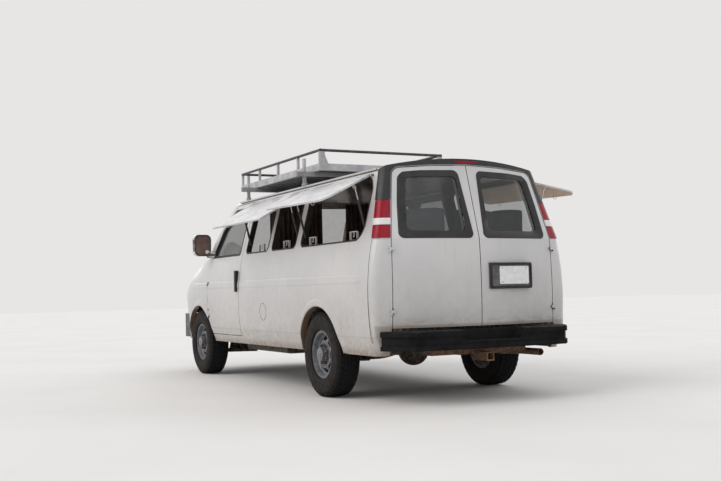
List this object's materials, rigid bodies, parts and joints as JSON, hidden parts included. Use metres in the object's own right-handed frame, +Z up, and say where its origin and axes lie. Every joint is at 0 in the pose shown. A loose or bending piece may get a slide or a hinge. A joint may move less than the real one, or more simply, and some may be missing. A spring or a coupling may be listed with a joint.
{
  "type": "camper van",
  "caption": "Full-size camper van with side awning flaps on struts, a railed roof rack and barn doors at the back.",
  "frame": {"origin": "centre of the overall length and width, on the ground", "axes": "+X towards the van's left side, +Y towards its rear, +Z up"},
  "size_m": [2.7293, 5.6896, 2.3619],
  "materials": {
    "white_paint": "faded gloss with dust",
    "flap_paint": "worn satin",
    "black_plastic": "scuffed",
    "grey_plastic": "satin",
    "tan_plastic": "satin",
    "tinted_glass": "tinted",
    "panel_glass": "dark gloss",
    "bare_steel": "polished",
    "rusty_steel": "rusted",
    "dark_steel": "dusty",
    "wheel_steel": "dusty silver",
    "rack_metal": "satin",
    "strut_black": "satin",
    "engine_metal": "oily",
    "lamp_red": "gloss",
    "lamp_clear": "gloss",
    "tyre_rubber": "dusty",
    "plywood": "matt",
    "bedding": "woven",
    "seat_cloth": "woven"
  },
  "bodies": {
    "body": {"bed": "plywood", "dashboard": "tan_plastic", "exhaust": "rusty_steel", "fenders": "white_paint", "floor_pan": "dark_steel", "frame": "dark_steel", "front_bumper": "black_plastic", "front_suspension": "dark_steel", "fuel_tank": "dark_steel", "grille": "grey_plastic", "headlamps": "lamp_clear", "hitch_receiver": "rusty_steel", "mattress": "bedding", "powertrain": "engine_metal", "rack_panels": "panel_glass", "rear_axle": "dark_steel", "rear_bumper": "black_plastic", "rear_trim": "black_plastic", "roof": "white_paint", "roof_rack": "rack_metal", "seats": "seat_cloth", "side_left": "white_paint", "side_right": "white_paint", "tail_lamps": "lamp_red", "windscreen": "tinted_glass"},
    "hood": {"hood": "white_paint"},
    "door_left": {"door_left": "white_paint", "door_glass_left": "tinted_glass"},
    "door_right": {"door_right": "white_paint", "door_glass_right": "tinted_glass"},
    "side_door_front": {"side_door_front": "white_paint", "side_door_front_glass": "tinted_glass"},
    "side_door_rear": {"side_door_rear": "white_paint", "side_door_rear_glass": "tinted_glass"},
    "rear_door_left": {"rear_door_left": "white_paint", "rear_glass_left": "tinted_glass"},
    "rear_door_right": {"rear_door_right": "white_paint", "rear_glass_right": "tinted_glass", "plate_housing": "grey_plastic"},
    "steering_wheel": {"steering_wheel": "black_plastic"},
    "knuckle_left": {"knuckle_left": "dark_steel"},
    "knuckle_right": {"knuckle_right": "dark_steel"},
    "wheel_front_left": {"tyre_front_left": "tyre_rubber", "rim_front_left": "wheel_steel"},
    "wheel_front_right": {"tyre_front_right": "tyre_rubber", "rim_front_right": "wheel_steel"},
    "wheel_rear_left": {"tyre_rear_left": "tyre_rubber", "rim_rear_left": "wheel_steel"},
    "wheel_rear_right": {"tyre_rear_right": "tyre_rubber", "rim_rear_right": "wheel_steel"},
    "flap_left_front": {"flap_left_front": "flap_paint"},
    "strut_barrels_left_front": {"strut_barrels_left_front": "strut_black"},
    "strut_rods_left_front": {"strut_rods_left_front": "bare_steel"},
    "flap_left_rear": {"flap_left_rear": "flap_paint"},
    "strut_barrels_left_rear": {"strut_barrels_left_rear": "strut_black"},
    "strut_rods_left_rear": {"strut_rods_left_rear": "bare_steel"},
    "flap_right_rear": {"flap_right_rear": "flap_paint"},
    "strut_barrels_right_rear": {"strut_barrels_right_rear": "strut_black"},
    "strut_rods_right_rear": {"strut_rods_right_rear": "bare_steel"}
  },
  "joints": [
    {"name": "front_door_left_swing", "type": "hinge", "parent": "body", "child": "door_left", "pos_m": [1.006, -1.64, 1.2], "axis": [0, 0, -1], "range_deg": [0, 65]},
    {"name": "front_door_right_swing", "type": "hinge", "parent": "body", "child": "door_right", "pos_m": [-1.006, -1.64, 1.2], "axis": [0, 0, 1], "range_deg": [0, 65]},
    {"name": "side_door_front_swing", "type": "hinge", "parent": "body", "child": "side_door_front", "pos_m": [-1.014, -0.53, 1], "axis": [0, 0, 1], "range_deg": [0, 90]},
    {"name": "side_door_rear_swing", "type": "hinge", "parent": "body", "child": "side_door_rear", "pos_m": [-1.014, 0.915, 1], "axis": [0, 0, -1], "range_deg": [0, 90]},
    {"name": "rear_door_left_swing", "type": "hinge", "parent": "body", "child": "rear_door_left", "pos_m": [0.835, 2.578, 1.04], "axis": [0, 0, -1], "range_deg": [0, 165]},
    {"name": "rear_door_right_swing", "type": "hinge", "parent": "body", "child": "rear_door_right", "pos_m": [-0.835, 2.578, 1.04], "axis": [0, 0, 1], "range_deg": [0, 165]},
    {"name": "hood_lift", "type": "hinge", "parent": "body", "child": "hood", "pos_m": [0, -1.957, 1.37], "axis": [-1, 0, 0], "range_deg": [0, 50]},
    {"name": "steer_left", "type": "hinge", "parent": "body", "child": "knuckle_left", "pos_m": [0.79, -1.965, 0.387], "axis": [0, 0, 1], "range_deg": [-32, 32]},
    {"name": "steer_right", "type": "hinge", "parent": "body", "child": "knuckle_right", "pos_m": [-0.79, -1.965, 0.387], "axis": [0, 0, 1], "range_deg": [-32, 32]},
    {"name": "steering_wheel_turn", "type": "hinge", "parent": "body", "child": "steering_wheel", "pos_m": [0.45, -1.3, 1.27], "axis": [0, 0.8486, 0.5291], "range_deg": [-540, 540]},
    {"name": "front_left_roll", "type": "hinge", "parent": "knuckle_left", "child": "wheel_front_left", "pos_m": [0.871, -1.965, 0.387], "axis": [1, 0, 0], "continuous": true},
    {"name": "front_right_roll", "type": "hinge", "parent": "knuckle_right", "child": "wheel_front_right", "pos_m": [-0.871, -1.965, 0.387], "axis": [1, 0, 0], "continuous": true},
    {"name": "rear_left_roll", "type": "hinge", "parent": "body", "child": "wheel_rear_left", "pos_m": [0.865, 1.464, 0.387], "axis": [1, 0, 0], "continuous": true},
    {"name": "rear_right_roll", "type": "hinge", "parent": "body", "child": "wheel_rear_right", "pos_m": [-0.865, 1.464, 0.387], "axis": [1, 0, 0], "continuous": true},
    {"name": "flap_left_front_close", "type": "hinge", "parent": "body", "child": "flap_left_front", "pos_m": [0.818, 0.185, 1.95], "axis": [0, 1, 0], "range_deg": [0, 45.3]},
    {"name": "strut_left_front_tilt", "type": "hinge", "parent": "body", "child": "strut_barrels_left_front", "pos_m": [0.89242, 0.185, 1.48], "axis": [0, -1, 0], "range_deg": [0, 25.15]},
    {"name": "strut_left_front_slide", "type": "slide", "parent": "strut_barrels_left_front", "child": "strut_rods_left_front", "axis": [-0.2351, 0, -0.972], "range_m": [0, 0.0784]},
    {"name": "flap_left_rear_close", "type": "hinge", "parent": "body", "child": "flap_left_rear", "pos_m": [0.818, 1.6, 1.95], "axis": [0, 1, 0], "range_deg": [0, 51.3]},
    {"name": "strut_left_rear_tilt", "type": "hinge", "parent": "body", "child": "strut_barrels_left_rear", "pos_m": [0.89242, 1.6, 1.48], "axis": [0, -1, 0], "range_deg": [0, 26.4]},
    {"name": "strut_left_rear_slide", "type": "slide", "parent": "strut_barrels_left_rear", "child": "strut_rods_left_rear", "axis": [-0.2562, 0, -0.9666], "range_m": [0, 0.0981]},
    {"name": "flap_right_rear_close", "type": "hinge", "parent": "body", "child": "flap_right_rear", "pos_m": [-0.818, 1.6, 1.95], "axis": [0, -1, 0], "range_deg": [0, 63.3]},
    {"name": "strut_right_rear_tilt", "type": "hinge", "parent": "body", "child": "strut_barrels_right_rear", "pos_m": [-0.89242, 1.6, 1.48], "axis": [0, 1, 0], "range_deg": [0, 27.64]},
    {"name": "strut_right_rear_slide", "type": "slide", "parent": "strut_barrels_right_rear", "child": "strut_rods_right_rear", "axis": [0.2772, 0, -0.9608], "range_m": [0, 0.1396]}
  ],
  "couplings": [
    {"joint": "steer_right", "follows": "steer_left", "ratio": 1},
    {"joint": "steering_wheel_turn", "follows": "steer_left", "ratio": 16.5},
    {"joint": "strut_left_front_tilt", "follows": "flap_left_front_close", "ratio": 0.554},
    {"joint": "strut_left_front_slide", "follows": "flap_left_front_close", "m_per_rad": 0.09894},
    {"joint": "strut_left_rear_tilt", "follows": "flap_left_rear_close", "ratio": 0.5136},
    {"joint": "strut_left_rear_slide", "follows": "flap_left_rear_close", "m_per_rad": 0.10935},
    {"joint": "strut_right_rear_tilt", "follows": "flap_right_rear_close", "ratio": 0.4359},
    {"joint": "strut_right_rear_slide", "follows": "flap_right_rear_close", "m_per_rad": 0.12616}
  ]
}
